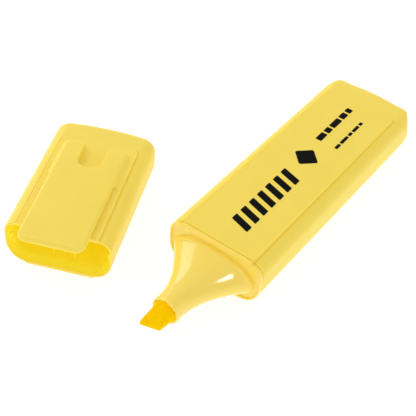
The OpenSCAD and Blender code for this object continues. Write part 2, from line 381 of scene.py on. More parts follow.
def build_barrel():
    """Flat barrel, open at the seam and closed at the rear, with a panel on its top and its back."""
    shell = Shell(
        BODY_L, corner=6.3, low_corner=4.0, crown=1.9, margin=6.5, panel_crown=1.1, end_wall=1.6
    )
    rows = [SEAM_AT + step for step in (0.0, 0.02, 0.05, 0.1, SEAM_ROUND, 0.3, 0.6, 1.2)]
    rows += spread(4.0, 54.0, 2.5) + spread(55.0, 68.0, 0.9)
    rows += edge_rows(shell.panel_end)
    outer = shell.outer(rows, lambda row: rim_inset(row - SEAM_AT, SEAM_ROUND))
    rim = rim_rings(SEAM_AT, SEAM_ROUND, WALL, INNER_ROUND)
    inner_rows = [SEAM_AT + 0.15, SEAM_AT + 1.0] + spread(4.0, 72.0, 6.0)
    inner = shell.inner(inner_rows, lambda row: WALL, lambda row, ring: ring)
    rings = list(reversed(outer)) + rim + inner
    first = (BODY_L, 0.0, MID_Z)
    last = (BODY_L - shell.end_wall, 0.0, MID_Z)
    verts, faces = loft(rings, first, last)
    place = Matrix.Translation((RIM_X * MM, 0.0, 0.0))
    return mesh_object("barrel_body", verts, faces, place)


# ---------------------------------------------------------------- cap

CAP_ROUND = 0.26
MOUTH_WALL = 0.5
BEAD_C = 1.6
BEAD_Z = MID_Z + 0.6
BEAD_R = 0.75
BEAD_RISE = 0.7
RIB_FROM = 3.6
RIB_TO = 14.6
RIB_H = 0.9
POCKET_DEPTH = 0.55


def cap_inside(row, ring):
    """Raises the snap beads on the side walls and the two ribs on the back wall."""
    y, z = ring[:, 1], ring[:, 2]
    reach = np.hypot(row - BEAD_C, z - BEAD_Z)
    bead = BEAD_RISE * np.sqrt(np.clip(1.0 - (reach / BEAD_R) ** 2, 0.0, 1.0))
    on_side = np.abs(SEC_Y) > PANEL_TOP_Y + 1.0
    ring[:, 1] -= np.sign(y) * np.where(on_side, bead, 0.0)
    across = 1.0 - smooth((np.abs(np.abs(SEC_Y) - RIB_Y) - 0.22) / 0.14)
    along = smooth((row - RIB_FROM) / 1.2) * (1.0 - smooth((row - RIB_TO) / 0.5))
    ring[:, 2] += np.where(ON_BACK, RIB_H * across * along, 0.0)
    return ring


def cap_wall(row):
    """Wall of the cap, which thins towards the mouth as a lead-in."""
    return MOUTH_WALL + (WALL - MOUTH_WALL) * smooth(row / 3.0)


def paint_hollow_shade(obj, material):
    """Gives a second material to the faces of the cap's hollow, its ribs and its end wall: a deeper
    yellow that paints the shade in the hollow.
    """
    skin = 0.4
    obj.data.materials.append(material)
    back = cap_matrix().inverted()
    turn = back.to_3x3()
    for face in obj.data.polygons:
        centre = back @ face.center
        c, v, z = centre / MM
        normal = turn @ face.normal
        within = 0.35 < c < CAP_L - 0.8 and abs(v) < HALF_W - skin and LOW_Z + skin < z < HIGH_Z - skin
        inward = normal.y * v + normal.z * (z - MID_Z) < 0
        on_rib = abs(v) < RIB_Y + 1.0 and z < MID_Z
        if within and (inward or on_rib or normal.x < -0.9):
            face.material_index = 1


def notch_pocket(row, y):
    """Depth of the hollow under the clip's notch, deepest where the blade's root begins."""
    along = smooth((row - NOTCH_C + 0.6) / 0.4) * (1.0 - smooth((row - NOTCH_C - 2.5) / 5.0))
    across = 1.0 - smooth((np.abs(y) - NOTCH_HALF - 0.1) / 0.6)
    return POCKET_DEPTH * along * across


def build_cap():
    """Cap with its panels, the pocket under the clip's notch, and its ribs and snap beads."""
    shell = Shell(
        CAP_L, corner=2.6, low_corner=2.6, crown=1.2, margin=5.2, panel_crown=1.3, end_wall=WALL + 0.2
    )
    front = [0.0, 0.02, 0.06, 0.12, 0.2, 0.3, 0.6, 1.0, 1.6]
    rows = front + spread(2.4, 20.4, 2.0) + spread(21.2, 23.2, 0.2) + spread(23.8, 32.0, 0.8)
    rows += edge_rows(shell.panel_end) + [36.4, 36.8, 37.4]
    outer = shell.outer(rows, lambda row: rim_inset(row, CAP_ROUND), notch_pocket)
    rim = rim_rings(0.0, CAP_ROUND, MOUTH_WALL, INNER_ROUND)
    inner_rows = spread(0.3, 2.6, 0.13) + spread(3.0, 5.0, 0.25) + spread(6.0, 14.0, 1.6)
    inner_rows += spread(14.4, 15.4, 0.2) + spread(17.0, 36.0, 3.0)
    inner = shell.inner(inner_rows, cap_wall, cap_inside)
    rings = list(reversed(outer)) + rim + inner
    first = (CAP_L, 0.0, MID_Z)
    last = (CAP_L - shell.end_wall, 0.0, MID_Z)
    verts, faces = loft(rings, first, last)
    return mesh_object("cap_body", verts, faces, cap_matrix())


# ---------------------------------------------------------------- polar sections

VENT_ANGLES = (30, 90, 150, 270)


def seen_angles():
    """Angles round the nose's axis: those of the shell's section, and close ones at the vents."""
    angles = list(np.degrees(np.arctan2(SEC_Z - AXIS_Z, SEC_Y)) % 360.0)
    for at in VENT_ANGLES:
        angles += spread(at - 12.0, at + 12.0, 1.5)
    kept = []
    for angle in sorted(angles):
        if not kept or angle - kept[-1] > 0.06:
            kept.append(angle)
    return np.radians(kept)


THETA = seen_angles()
SIDES = len(THETA)
COS_T = np.cos(THETA)
SIN_T = np.sin(THETA)


def polar_ring(x, radius):
    """A ring round the nose's axis with a radius for each angle."""
    radius = np.broadcast_to(radius, THETA.shape)
    return np.column_stack([np.full(SIDES, x), radius * COS_T, AXIS_Z + radius * SIN_T])


def oval(half_y, half_z, power=2.1):
    """Radius at each angle of a slightly squared ellipse."""
    return (np.abs(COS_T / half_y) ** power + np.abs(SIN_T / half_z) ** power) ** (-1.0 / power)


def oval_ring(x, half_y, half_z, power=2.1):
    """A slightly squared elliptical ring at x."""
    return polar_ring(x, oval(half_y, half_z, power))


def seen_from_axis(ring):
    """The outline of a section's ring, cut by a ray from the nose's axis at each angle."""
    angle = np.arctan2(ring[:, 2] - AXIS_Z, ring[:, 1]) % (2.0 * math.pi)
    order = np.argsort(angle)
    y, z = ring[order, 1], ring[order, 2] - AXIS_Z
    after = np.searchsorted(angle[order], THETA) % len(y)
    y0, z0 = y[after - 1], z[after - 1]
    along_y, along_z = y[after] - y0, z[after] - z0
    reach = (y0 * along_z - z0 * along_y) / (COS_T * along_z - SIN_T * along_y)
    return polar_ring(ring[0, 0], reach)


def body_ring(x, inset, panels=0.0):
    """The shell's own section, moved in, with its raised panels at a share of their height."""
    top = panels * panel_height(0.0, SEC_Y, PANEL_TOP_Y, BODY_L)
    back = panels * panel_height(0.0, SEC_Y, PANEL_BACK_Y, BODY_L)
    return seen_from_axis(section_points(x, inset, top, back))


# ---------------------------------------------------------------- section

# Cone from the collar to the base: distance in front of the rim, half width, half thickness
CONE = (
    (16.6, 3.68, 3.66),
    (15.4, 3.8, 3.58),
    (14.0, 4.05, 3.52),
    (12.0, 4.62, 3.53),
    (10.0, 5.4, 3.6),
    (7.5, 6.75, 3.72),
    (5.0, 8.35, 3.92),
    (3.0, 9.75, 4.3),
    (1.6, 10.8, 4.82),
    (1.0, 11.3, 5.1),
)
COLLAR_R = 3.7
COLLAR_ROUND = 0.22
FACE_INSET = 0.26
NIB_BORE_R = 3.0
VENT_DEPTH = 0.38
FOOT_Y = 11.6
FOOT_Z = 5.25
FOOT_POWER = 2.25
DISH_DEPTH = 0.5
DISH_EDGE = 0.46
FOOT_FILLET = 0.12
LIP_ROUND = 0.24
SEAM_WIDTH = 0.22
SPIGOT_L = 10.4
SPIGOT_INSET = WALL + 0.05
SPIGOT_WALL = 0.75
CONE_WALL_Y = 1.2
CONE_WALL_Z = 0.85


def cone_at(front):
    """Half width and half thickness of the cone at a distance in front of the rim."""
    stations, half_y, half_z = (np.array(column) for column in zip(*reversed(CONE)))
    return eased(front, stations, half_y), eased(front, stations, half_z)


def eased(t, stations, values):
    """Interpolates with a smooth curve through every value."""
    slopes = np.gradient(values, stations)
    k = int(np.clip(np.searchsorted(stations, t) - 1, 0, len(stations) - 2))
    step = stations[k + 1] - stations[k]
    u = (t - stations[k]) / step
    return (
        values[k] * (1 + 2 * u) * (1 - u) ** 2
        + slopes[k] * step * u * (1 - u) ** 2
        + values[k + 1] * u * u * (3 - 2 * u)
        + slopes[k + 1] * step * u * u * (u - 1)
    )


def vent_slots(depth):
    """Radius added to the bore by the four vent slots round the nib."""
    reach = np.full(SIDES, math.pi)
    for at in VENT_ANGLES:
        away = np.angle(np.exp(1j * (THETA - math.radians(at))))
        reach = np.minimum(reach, np.abs(away))
    return depth * (1.0 - smooth((reach - 0.11) / 0.05))


def collar_rings():
    """Rings from the vented bore out over the collar's rounded front to its back."""
    bore = NIB_BORE_R + vent_slots(VENT_DEPTH)
    rings = [polar_ring(NOSE_X + depth, bore) for depth in (11.0, 4.0, 1.2, 0.5, 0.2)]
    rings.append(polar_ring(NOSE_X + 0.07, bore + 0.02))
    rings.append(polar_ring(NOSE_X, np.minimum(bore + 0.08, COLLAR_R - FACE_INSET)))
    for a in np.radians(np.linspace(0, 90, 7)):
        x = NOSE_X + COLLAR_ROUND * (1 - math.cos(a))
        rings.append(polar_ring(x, COLLAR_R - COLLAR_ROUND * (1 - math.sin(a))))
    return rings + [polar_ring(x, COLLAR_R) for x in spread(NOSE_X + 0.5, NOSE_X + 2.2, 0.4)]


def cone_rings():
    """Rings down the cone and over its rounded foot to the floor of the dish."""
    rings = []
    for front in spread(RIM_X - NOSE_X - 2.4, 1.0, 0.35):
        half_y, half_z = cone_at(min(front, CONE[0][0]))
        rings.append(oval_ring(RIM_X - front, half_y, half_z))
    # Each step of the foot: (distance in front of the rim, how far it is drawn in)
    foot = (
        (0.85, 0.16),
        (0.7, 0.07),
        (0.5, 0.02),
        (0.2, 0.0),
        (FOOT_FILLET - DISH_DEPTH, 0.0),
    )
    for front, drawn in foot:
        rings.append(oval_ring(RIM_X - front, FOOT_Y - drawn, FOOT_Z - drawn * 0.6, FOOT_POWER))
    for a in np.radians((30, 60, 90)):
        out = FOOT_FILLET * (1 - math.cos(a))
        x = RIM_X + DISH_DEPTH - FOOT_FILLET * (1 - math.sin(a))
        rings.append(oval_ring(x, FOOT_Y + out, FOOT_Z + out, FOOT_POWER))
    return rings


def flange_rings():
    """Rings from the floor of the dish over the flange's edge to the spigot."""
    rings = []
    for a in np.radians((0, 30, 60, 90)):
        inset = DISH_EDGE + FOOT_FILLET * (1 - math.sin(a))
        rings.append(body_ring(RIM_X + DISH_DEPTH - FOOT_FILLET * (1 - math.cos(a)), inset))
    rings.append(body_ring(RIM_X + 0.1, DISH_EDGE))
    rings.append(body_ring(RIM_X + 0.03, DISH_EDGE - 0.03))
    rings.append(body_ring(RIM_X, DISH_EDGE - 0.1))
    for a in np.radians(np.linspace(0, 90, 7)):
        inset = LIP_ROUND * (1 - math.sin(a))
        rings.append(body_ring(RIM_X + LIP_ROUND * (1 - math.cos(a)), inset, math.sin(a)))
    seam_front = FLANGE_L - SEAM_WIDTH
    # Side of the flange up to the seam: (distance behind the rim, how far it is drawn in)
    side = (
        (0.5, 0.0),
        (0.75, 0.0),
        (seam_front - SEAM_ROUND, 0.0),
        (seam_front - 0.05, 0.04),
    )
    for depth, inset in side:
        rings.append(body_ring(RIM_X + depth, inset, 1.0))
    rings.append(body_ring(RIM_X + seam_front, SEAM_ROUND, 1.0))
    rings.append(body_ring(RIM_X + seam_front, 1.0))
    back = RIM_X + FLANGE_L + SPIGOT_L
    rings.append(body_ring(RIM_X + FLANGE_L, SPIGOT_INSET))
    rings.append(body_ring(back, SPIGOT_INSET))
    rings.append(body_ring(back, SPIGOT_INSET + SPIGOT_WALL))
    rings.append(body_ring(RIM_X + FLANGE_L, SPIGOT_INSET + SPIGOT_WALL))
    return rings


def hollow_rings():
    """Rings of the cone's hollow, from the flange's back to the nib's bore."""
    rings = [oval_ring(RIM_X + FLANGE_L, 10.3, 4.1)]
    for front in (2.0, 4.0, 6.0):
        half_y, half_z = cone_at(front)
        rings.append(oval_ring(RIM_X - front, half_y - CONE_WALL_Y, half_z - CONE_WALL_Z))
    return rings + [polar_ring(RIM_X - 7.8, 3.35)]


def build_section():
    """Front piece in one skin: vented bore, collar, cone, dish, flange, spigot and hollow."""
    rings = collar_rings() + cone_rings() + flange_rings() + hollow_rings()
    verts, faces = loft(rings, close=True)
    return mesh_object("nose_section", verts, faces, sharp_deg=50.0)


# ---------------------------------------------------------------- nib

NIB_R = 2.95
NIB_EDGE_HALF = 2.4
NIB_SLANT = math.radians(16.0)
NIB_TIP_T = 1.0
NIB_TIP_ROUND = 0.28
NIB_REAR = 9.0
NIB_TAPER = 0.35


def nib_ring(x, half_y, half_z, round_r, slant, rod=NIB_R):
    """A ring of the felt rod: its round shaft cut by flat sides, with eased edges."""
    angle = np.arctan2(half_z * SIN_T, half_y * COS_T)
    cos_a, sin_a = np.abs(np.cos(angle)) + 1e-9, np.abs(np.sin(angle)) + 1e-9
    limits = np.array([np.full(SIDES, rod), half_y / cos_a, half_z / sin_a])
    power = 18.0 if half_z < 2.2 else 40.0
    radius = np.sum(limits**-power, axis=0) ** (-1.0 / power)
    y = radius * np.cos(angle)
    z = radius * np.sin(angle)
    y = y - np.sign(y) * np.minimum(round_r, np.abs(y))
    z = z - np.sign(z) * np.minimum(round_r, np.abs(z) * 0.9)
    return np.column_stack([x + slant * (NIB_EDGE_HALF - y), y, AXIS_Z + z])


def build_nib():
    """Round felt rod that runs out into a wedge with a slanted writing edge."""
    wedge_x = NOSE_X + 0.1
    length = wedge_x - NIB_TIP_X
    rings = [nib_ring(x, 9.0, 9.0, 0.0, 0.0) for x in spread(RIM_X + NIB_REAR - 0.1, wedge_x, 2.5)]
    for share in spread(0.02, 0.93, 0.035):
        half_z = NIB_R + (NIB_TIP_T / 2 - NIB_R) * share**0.75
        half_y = NIB_R + (NIB_EDGE_HALF - NIB_R) * share
        slant = math.tan(NIB_SLANT) * smooth(share)
        rod = NIB_R - NIB_TAPER * smooth(share / 0.4)
        rings.append(nib_ring(wedge_x - length * share, float(half_y), half_z, 0.0, slant, rod))
    slant = math.tan(NIB_SLANT)
    for a in np.radians(np.linspace(15, 90, 6)):
        x = NIB_TIP_X + NIB_TIP_ROUND * (1 - math.sin(a))
        cut = NIB_TIP_ROUND * (1 - math.cos(a))
        rings.append(nib_ring(x, NIB_EDGE_HALF + 0.02, NIB_TIP_T / 2 + 0.1, cut, slant))
    tip = rings[-1]
    for share in (0.75, 0.4):
        ring = tip.copy()
        ring[:, 1] = tip[:, 1] * share
        ring[:, 2] = AXIS_Z + (tip[:, 2] - AXIS_Z) * share
        ring[:, 0] = NIB_TIP_X + slant * (NIB_EDGE_HALF - ring[:, 1])
        rings.append(ring)
    # Felt is never quite even: its skin wanders by a few hundredths of a millimetre
    made = []
    for ring in rings:
        x, y, z = ring.T
        wander = 0.035 * np.sin(5.1 * x + 2.3 * y) * np.sin(4.3 * z - 1.7 * x + 0.8)
        wander += 0.02 * np.sin(11.0 * y + 7.0 * x) * np.cos(9.0 * z + 3.0 * x)
        share = np.clip((NOSE_X - 0.2 - x) / 1.0, 0.0, 1.0) * wander
        radius = np.hypot(y, z - AXIS_Z) + 1e-6
        scale = np.minimum(1.0 + share / radius, NIB_R / radius)
        inward = np.where(radius > 0.3, scale, 1.0)
        made.append(np.column_stack([x, y * inward, AXIS_Z + (z - AXIS_Z) * inward]))
    rear = (RIM_X + NIB_REAR, 0.0, AXIS_Z)
    front = (NIB_TIP_X + slant * NIB_EDGE_HALF, 0.0, AXIS_Z)
    verts, faces = loft(made, rear, front)
    return mesh_object("nib_felt", verts, faces, sharp_deg=60.0)


# ---------------------------------------------------------------- clip

FREE_CORNER = 2.3
LEG_CORNER = 1.5
LEG_TIP = 0.9
NOTCH_CORNER = 2.6
CLIP_ROUND_Y = 0.85
CLIP_ROUND_Z = 0.62
ROOT_SINK = 0.12


def arc_points(centre, radius, start, stop, count=12):
    """Points of an arc in the cap's plan, angles in degrees."""
    angles = np.radians(np.linspace(start, stop, count))
    return [(centre[0] + radius * math.cos(a), centre[1] + radius * math.sin(a)) for a in angles]


def clip_outline():
    """Plan outline of the clip, counter-clockwise, with its U-shaped notch at the root's end."""
    free_c = CLIP_FREE_C + FREE_CORNER
    leg_c = ROOT_END_C - LEG_CORNER
    tip_c = ROOT_END_C - LEG_TIP
    notch_c = NOTCH_C + NOTCH_CORNER
    points = arc_points((free_c, CLIP_HALF_W - FREE_CORNER), FREE_CORNER, 90, 180)
    points += arc_points((free_c, -CLIP_HALF_W + FREE_CORNER), FREE_CORNER, 180, 270)
    points += arc_points((leg_c, -CLIP_HALF_W + LEG_CORNER), LEG_CORNER, 270, 360)
    points += arc_points((tip_c, -NOTCH_HALF - LEG_TIP), LEG_TIP, 0, 90, 8)
    points += reversed(arc_points((notch_c, -NOTCH_HALF + NOTCH_CORNER), NOTCH_CORNER, 180, 270))
    points += reversed(arc_points((notch_c, NOTCH_HALF - NOTCH_CORNER), NOTCH_CORNER, 90, 180))
    points += arc_points((tip_c, NOTCH_HALF + LEG_TIP), LEG_TIP, 270, 360, 8)
    points += arc_points((leg_c, CLIP_HALF_W - LEG_CORNER), LEG_CORNER, 0, 90)
    return np.array(points)


def walk_outline(points, step):
    """The same closed outline at an even step, with its outward normals."""
    closed = np.vstack([points, points[:1]])
    lengths = np.concatenate([[0.0], np.cumsum(np.hypot(*np.diff(closed, axis=0).T))])
    count = int(lengths[-1] / step)
    at = np.linspace(0.0, lengths[-1], count, endpoint=False)
    even = np.column_stack([np.interp(at, lengths, closed[:, i]) for i in (0, 1)])
    ahead = np.roll(even, -1, axis=0) - np.roll(even, 1, axis=0)
    ahead /= np.hypot(*ahead.T)[:, None]
    return even, np.column_stack([ahead[:, 1], -ahead[:, 0]])


def fill_flat(ring, heights, spacing):
    """Triangles across a closed ring, with inner points on an even grid."""
    border = [Vector((x, y)) for x, y, _ in ring]
    count = len(border)
    low, high = np.min(ring, axis=0), np.max(ring, axis=0)
    outline = np.asarray(ring)[:, :2]
    inner = []
    for x in spread(low[0], high[0], spacing)[1:-1]:
        for y in spread(low[1], high[1], spacing)[1:-1]:
            if np.min(np.hypot(outline[:, 0] - x, outline[:, 1] - y)) > spacing * 0.5:
                inner.append(Vector((x, y)))
    edges = [(i, (i + 1) % count) for i in range(count)]
    points, _, faces, origin, _, _ = delaunay_2d_cdt(border + inner, edges, [], 1, 1e-5)
    verts = []
    for point, source in zip(points, origin):
        on_border = [i for i in source if i < count]
        verts.append(tuple(ring[on_border[0]]) if on_border else (point.x, point.y, heights(point.x)))
    return verts, [tuple(face) for face in faces]


def root_share(c):
    """0 along the blade, and 1 where its root stands on the cap."""
    return smooth((c - CLIP_FLEX_C - 0.2) / 1.6)


def build_clip():
    """Blade of the clip with its rounded top edge, and its root with a fillet down to the cap."""
    outline, normal = walk_outline(clip_outline(), 0.35)
    c, v = outline.T
    root = root_share(c)
    in_notch = (c > NOTCH_C - 0.5) & (np.abs(v) < NOTCH_HALF + 0.6)
    foot = np.where(in_notch, 0.12, 1.0 + 0.4 * smooth((np.abs(v) - CLIP_HALF_W + 0.8) / 0.6))
    bottom = BODY_T + CLIP_GAP
    # Each level: (outward step of the blade, its height, outward step of the root, its height)
    levels = [
        (-0.14, bottom, 0.95, BODY_T - ROOT_SINK),
        (-0.05, bottom + 0.03, 0.72, BODY_T - 0.02),
        (-0.01, bottom + 0.09, 0.5, BODY_T + 0.08),
        (0.0, bottom + 0.16, 0.3, BODY_T + 0.22),
        (0.0, bottom + 0.26, 0.14, BODY_T + 0.42),
        (0.0, bottom + 0.36, 0.04, BODY_T + 0.62),
    ]
    rings = []
    for blade_out, blade_z, root_out, root_z in levels:
        out = blade_out + (root_out * foot - blade_out) * root
        z = blade_z + (root_z - blade_z) * root
        rings.append(np.column_stack([outline + normal * out[:, None], z]))
    for a in np.radians(np.linspace(0, 90, 9)):
        out = -CLIP_ROUND_Y * (1 - math.cos(a)) * np.where(in_notch, 0.25, 1.0)
        z = CLIP_TOP - CLIP_ROUND_Z * (1 - math.sin(a)) * np.where(in_notch, 0.35, 1.0)
        rings.append(np.column_stack([outline + normal * out[:, None], z]))
    verts, faces = loft(rings)

    def under(x):
        """Height of the underside, which drops from the blade's to the root's."""
        return bottom + (BODY_T - ROOT_SINK - bottom) * root_share(x)

    for ring, heights in ((rings[0], under), (rings[-1], lambda x: CLIP_TOP)):
        more, tris = fill_flat(ring, heights, 1.1)
        base = len(verts)
        verts += more
        faces += [tuple(base + i for i in tri) for tri in tris]
    return mesh_object("pocket_clip", verts, faces, cap_matrix(), sharp_deg=60.0)


# ---------------------------------------------------------------- inner cap

CUP_WALL = 1.1
CUP_END = 1.0
PLATE_T = 1.2
PLATE_INSET = WALL + 0.05
LEAD_IN = 0.5


def build_inner_cap():
    """Sealing cup on a plate that spans the cap's hollow."""
    outer_r = CUP_R + CUP_WALL
    plate_back = CUP_MOUTH_C + PLATE_T
    end = CUP_MOUTH_C + CUP_L
    rings = [body_ring(CUP_MOUTH_C, WALL + 0.1), body_ring(CUP_MOUTH_C, WALL + 0.5)]
    rings += [polar_ring(CUP_MOUTH_C, outer_r + 0.4), polar_ring(CUP_MOUTH_C - 0.02, CUP_R + 0.62)]
    for a in np.radians(np.linspace(0, 90, 6)):
        radius = CUP_R + LEAD_IN * (1 - math.sin(a))
        rings.append(polar_ring(CUP_MOUTH_C + LEAD_IN * (1 - math.cos(a)), radius))
    rings += [polar_ring(c, CUP_R) for c in spread(CUP_MOUTH_C + 1.0, end, 3.0)]
    rings += [polar_ring(end, CUP_R * share) for share in (0.6, 0.2)]
    rings += [polar_ring(end + CUP_END, outer_r * share) for share in (0.2, 0.6, 0.95)]
    rings += [polar_ring(end + 0.8, outer_r), polar_ring(plate_back + 0.4, outer_r)]
    rings += [polar_ring(plate_back, outer_r + 0.4), body_ring(plate_back, WALL + 0.1)]
    rings += [body_ring(plate_back - 0.1, PLATE_INSET), body_ring(CUP_MOUTH_C + 0.1, PLATE_INSET)]
    cut = next(i for i, ring in enumerate(rings) if ring[0][0] > end + 0.9)
    verts, faces = loft(rings[:cut], last_pole=(end, 0.0, AXIS_Z))
    base = len(verts)
    more, others = loft(rings[cut:] + rings[:1], first_pole=(end + CUP_END, 0.0, AXIS_Z))
    verts += more
    faces += [tuple(base + i for i in face) for face in others]
    return mesh_object("sealing_cup", verts, faces, cap_matrix(), sharp_deg=50.0)


# ---------------------------------------------------------------- printed marks

MARK_T = 0.04
BARS_X = 7.9
BARS_Y = -3.6
BAR_COUNT = 7
BAR_PITCH = 3.6
BAR_W = 2.1
BAR_H = 5.6
BAR_SLANT = 0.286
DIAMOND_X = 40.5
DIAMOND_HALF = 3.6
LINES_X = 48.5


def mark(points, corner):
    """A printed shape with eased corners, as an outline."""
    made = []
    count = len(points)
    for i in range(count):
        here = np.array(points[i], float)
        before = np.array(points[i - 1], float) - here
        after = np.array(points[(i + 1) % count], float) - here
        a = here + before / np.linalg.norm(before) * corner
        b = here + after / np.linalg.norm(after) * corner
        for t in np.linspace(0, 1, 6):
            made.append((1 - t) ** 2 * a + 2 * t * (1 - t) * here + t * t * b)
    return made


def bar(x, y, width, height, slant=0.0):
    """Corners of an upright or slanted bar with its lower left corner at x, y."""
    shift = slant * height
    return [(x, y), (x + width, y), (x + width + shift, y + height), (x + shift, y + height)]


def broken_line(y, height, widths, gap, corner):
    """Bars of the given widths in a row, a gap apart."""
    made = []
    x = LINES_X
    for width in widths:
        made.append(mark(bar(x, y, width, height), corner))
        x += width + gap
    return made


def print_shapes():
    """Generic marks in the barrel's plan: slanted bars, a diamond and two broken lines."""
    shapes = []
    for i in range(BAR_COUNT):
        shapes.append(mark(bar(BARS_X + i * BAR_PITCH, BARS_Y, BAR_W, BAR_H, BAR_SLANT), 0.3))
    low, high = DIAMOND_X - DIAMOND_HALF, DIAMOND_X + DIAMOND_HALF
    diamond = [(low, 0.0), (DIAMOND_X, -DIAMOND_HALF), (high, 0.0), (DIAMOND_X, DIAMOND_HALF)]
    shapes.append(mark(diamond, 0.6))
    shapes += broken_line(y=0.4, height=1.8, widths=(3.4, 2.2, 4.2, 2.6, 1.8), gap=0.7, corner=0.3)
    shapes += broken_line(y=-4.6, height=0.9, widths=(2.2, 3.6, 1.6, 3.0, 1.4), gap=0.55, corner=0.2)
    return shapes


def build_print():
    """All the marks as thin slabs on the top panel."""
    verts, faces = [], []
    for shape in print_shapes():
        base, count = len(verts), len(shape)
        for z in (BODY_T, BODY_T + MARK_T):
            verts += [(RIM_X + x, y, z) for x, y in shape]
        faces.append(tuple(base + i for i in reversed(range(count))))
        faces.append(tuple(base + count + i for i in range(count)))
        for i in range(count):
            j = (i + 1) % count
            faces.append((base + i, base + j, base + count + j, base + count + i))
    return mesh_object("printed_ink", verts, faces)


# ---------------------------------------------------------------- materials

# Strength of a painted glow: a constant emission that stands for the light the fluorescent pigment gives
# back, and that also lightens the shade in creases and hollows
PAINTED_GLOW = 0.17
YELLOW = (0.80, 0.62, 0.118)
GLOSSY_YELLOW = (0.83, 0.63, 0.13)
# Deeper yellow that paints the shade inside the cap, on the hollow's faces and on the sealing cup
HOLLOW_SHADE_YELLOW = (0.86, 0.74, 0.055)
NIB_YELLOW = (0.92, 0.58, 0.0)
NIB_DEEP = (0.90, 0.51, 0.0)
FILLER_YELLOW = (0.93, 0.72, 0.02)
FILLER_DEEP = (0.90, 0.62, 0.01)


class Nodes:
    """Short names for building a node material."""

    def __init__(self, name):
        self.material = bpy.data.materials.new(name)
        self.material.use_nodes = True
        self.tree = self.material.node_tree
        self.shader = self.tree.nodes["Principled BSDF"]
        self.coords = self.tree.nodes.new("ShaderNodeTexCoord").outputs["Object"]

    def node(self, kind, **values):
        """A new node with some of its settings."""
        made = self.tree.nodes.new(kind)
        for key, value in values.items():
            setattr(made, key, value)
        return made

    def link(self, source, target):
        """Joins an output to an input."""
        self.tree.links.new(source, target)

    def noise(self, scale, detail=3.0, rough=0.5, stretch=None):
        """Noise in the object's own space, stretched if asked."""
        made = self.node("ShaderNodeTexNoise")
        made.inputs["Scale"].default_value = scale
        made.inputs["Detail"].default_value = detail
        made.inputs["Roughness"].default_value = rough
        source = self.coords
        if stretch is not None:
            mapping = self.node("ShaderNodeMapping")
            mapping.inputs["Scale"].default_value = stretch
            self.link(source, mapping.inputs["Vector"])
            source = mapping.outputs["Vector"]
        self.link(source, made.inputs["Vector"])
        return made.outputs["Fac"]

    def ramp(self, source, stops):
        """Colours at places along a value."""
        made = self.node("ShaderNodeValToRGB")
        elements = made.color_ramp.elements
        while len(elements) < len(stops):
            elements.new(0.5)
        for element, (place, colour) in zip(elements, stops):
            element.position = place
            element.color = (*colour, 1.0)
        self.link(source, made.inputs["Fac"])
        return made.outputs["Color"]

    def span(self, source, low, high):
        """A value from 0 to 1 turned into one from low to high."""
        made = self.node("ShaderNodeMapRange")
        made.inputs["To Min"].default_value = low
        made.inputs["To Max"].default_value = high
        self.link(source, made.inputs["Value"])
        return made.outputs["Result"]

    def bump(self, source, strength, distance, below=None):
        """A bumped normal, laid over another if asked."""
        made = self.node("ShaderNodeBump")
        made.inputs["Strength"].default_value = strength
        made.inputs["Distance"].default_value = distance
        self.link(source, made.inputs["Height"])
        if below is not None:
            self.link(below, made.inputs["Normal"])
        return made.outputs["Normal"]


def tinted(colour, by):
    """A colour made a little lighter or darker."""
    return tuple(min(1.0, channel * by) for channel in colour)


def moulded_plastic(name, colour, low_rough, high_rough, grain, depth, shine=0.25, coat=0.0):
    """Pigmented, slightly translucent polypropylene with a fine moulded grain, and a painted glow that
    lifts its shade.
    """
    made = Nodes(name)
    cloudy = made.noise(90.0, 2.0, 0.5)
    made.link(
        made.ramp(cloudy, [(0.3, tinted(colour, 0.985)), (0.7, tinted(colour, 1.01))]),
        made.shader.inputs["Base Color"],
    )
    fine = made.noise(grain, 2.0, 0.6)
    made.link(made.span(made.noise(700.0), low_rough, high_rough), made.shader.inputs["Roughness"])
    wave = made.bump(made.noise(160.0, 1.0), 0.15, 0.00004)
    made.link(made.bump(fine, 0.25, depth, wave), made.shader.inputs["Normal"])
    made.shader.inputs["IOR"].default_value = 1.49
    made.shader.inputs["Subsurface Weight"].default_value = 0.6
    made.shader.inputs["Subsurface Radius"].default_value = (1.0, 1.0, 0.4)
    made.shader.inputs["Subsurface Scale"].default_value = 0.0004
    # Painted glow: the plastic gives out light of its own, which lightens its shade
    made.shader.inputs["Emission Color"].default_value = (1.0, 0.78, 0.0, 1.0)
    made.shader.inputs["Emission Strength"].default_value = PAINTED_GLOW
    made.shader.inputs["Specular IOR Level"].default_value = shine
    made.shader.inputs["Coat Weight"].default_value = coat
    made.shader.inputs["Coat Roughness"].default_value = 0.06
    return made.material


def soaked_felt(name, colour, deep):
    """Bonded fibre, soaked with ink: mottled, soft and grainy, with a painted glow that lifts its shade.
    """
    made = Nodes(name)
    along = made.noise(1400.0, 4.0, 0.65, (0.35, 1.0, 1.0))
    blotch = made.noise(420.0, 3.0, 0.6)
    mix = made.node("ShaderNodeMix", data_type="RGBA", blend_type="MULTIPLY")
    mix.inputs["Factor"].default_value = 0.8
    made.link(made.ramp(blotch, [(0.35, deep), (0.62, colour)]), mix.inputs[6])
    made.link(made.ramp(along, [(0.3, (0.9, 0.88, 0.8)), (0.7, (1.0, 1.0, 1.0))]), mix.inputs[7])
    made.link(mix.outputs[2], made.shader.inputs["Base Color"])
    made.link(made.span(along, 0.6, 0.9), made.shader.inputs["Roughness"])
    rough = made.bump(made.noise(5200.0, 3.0, 0.7), 0.5, 0.00006)
    made.link(made.bump(along, 0.5, 0.00012, rough), made.shader.inputs["Normal"])
    made.shader.inputs["Subsurface Weight"].default_value = 0.25
    made.shader.inputs["Subsurface Radius"].default_value = (1.0, 0.6, 0.05)
    made.shader.inputs["Subsurface Scale"].default_value = 0.0006
    made.shader.inputs["Specular IOR Level"].default_value = 0.02
    # Painted glow: the felt gives out light of its own, which lightens its shade
    made.shader.inputs["Emission Color"].default_value = (1.0, 0.62, 0.0, 1.0)
    made.shader.inputs["Emission Strength"].default_value = PAINTED_GLOW
    return made.material


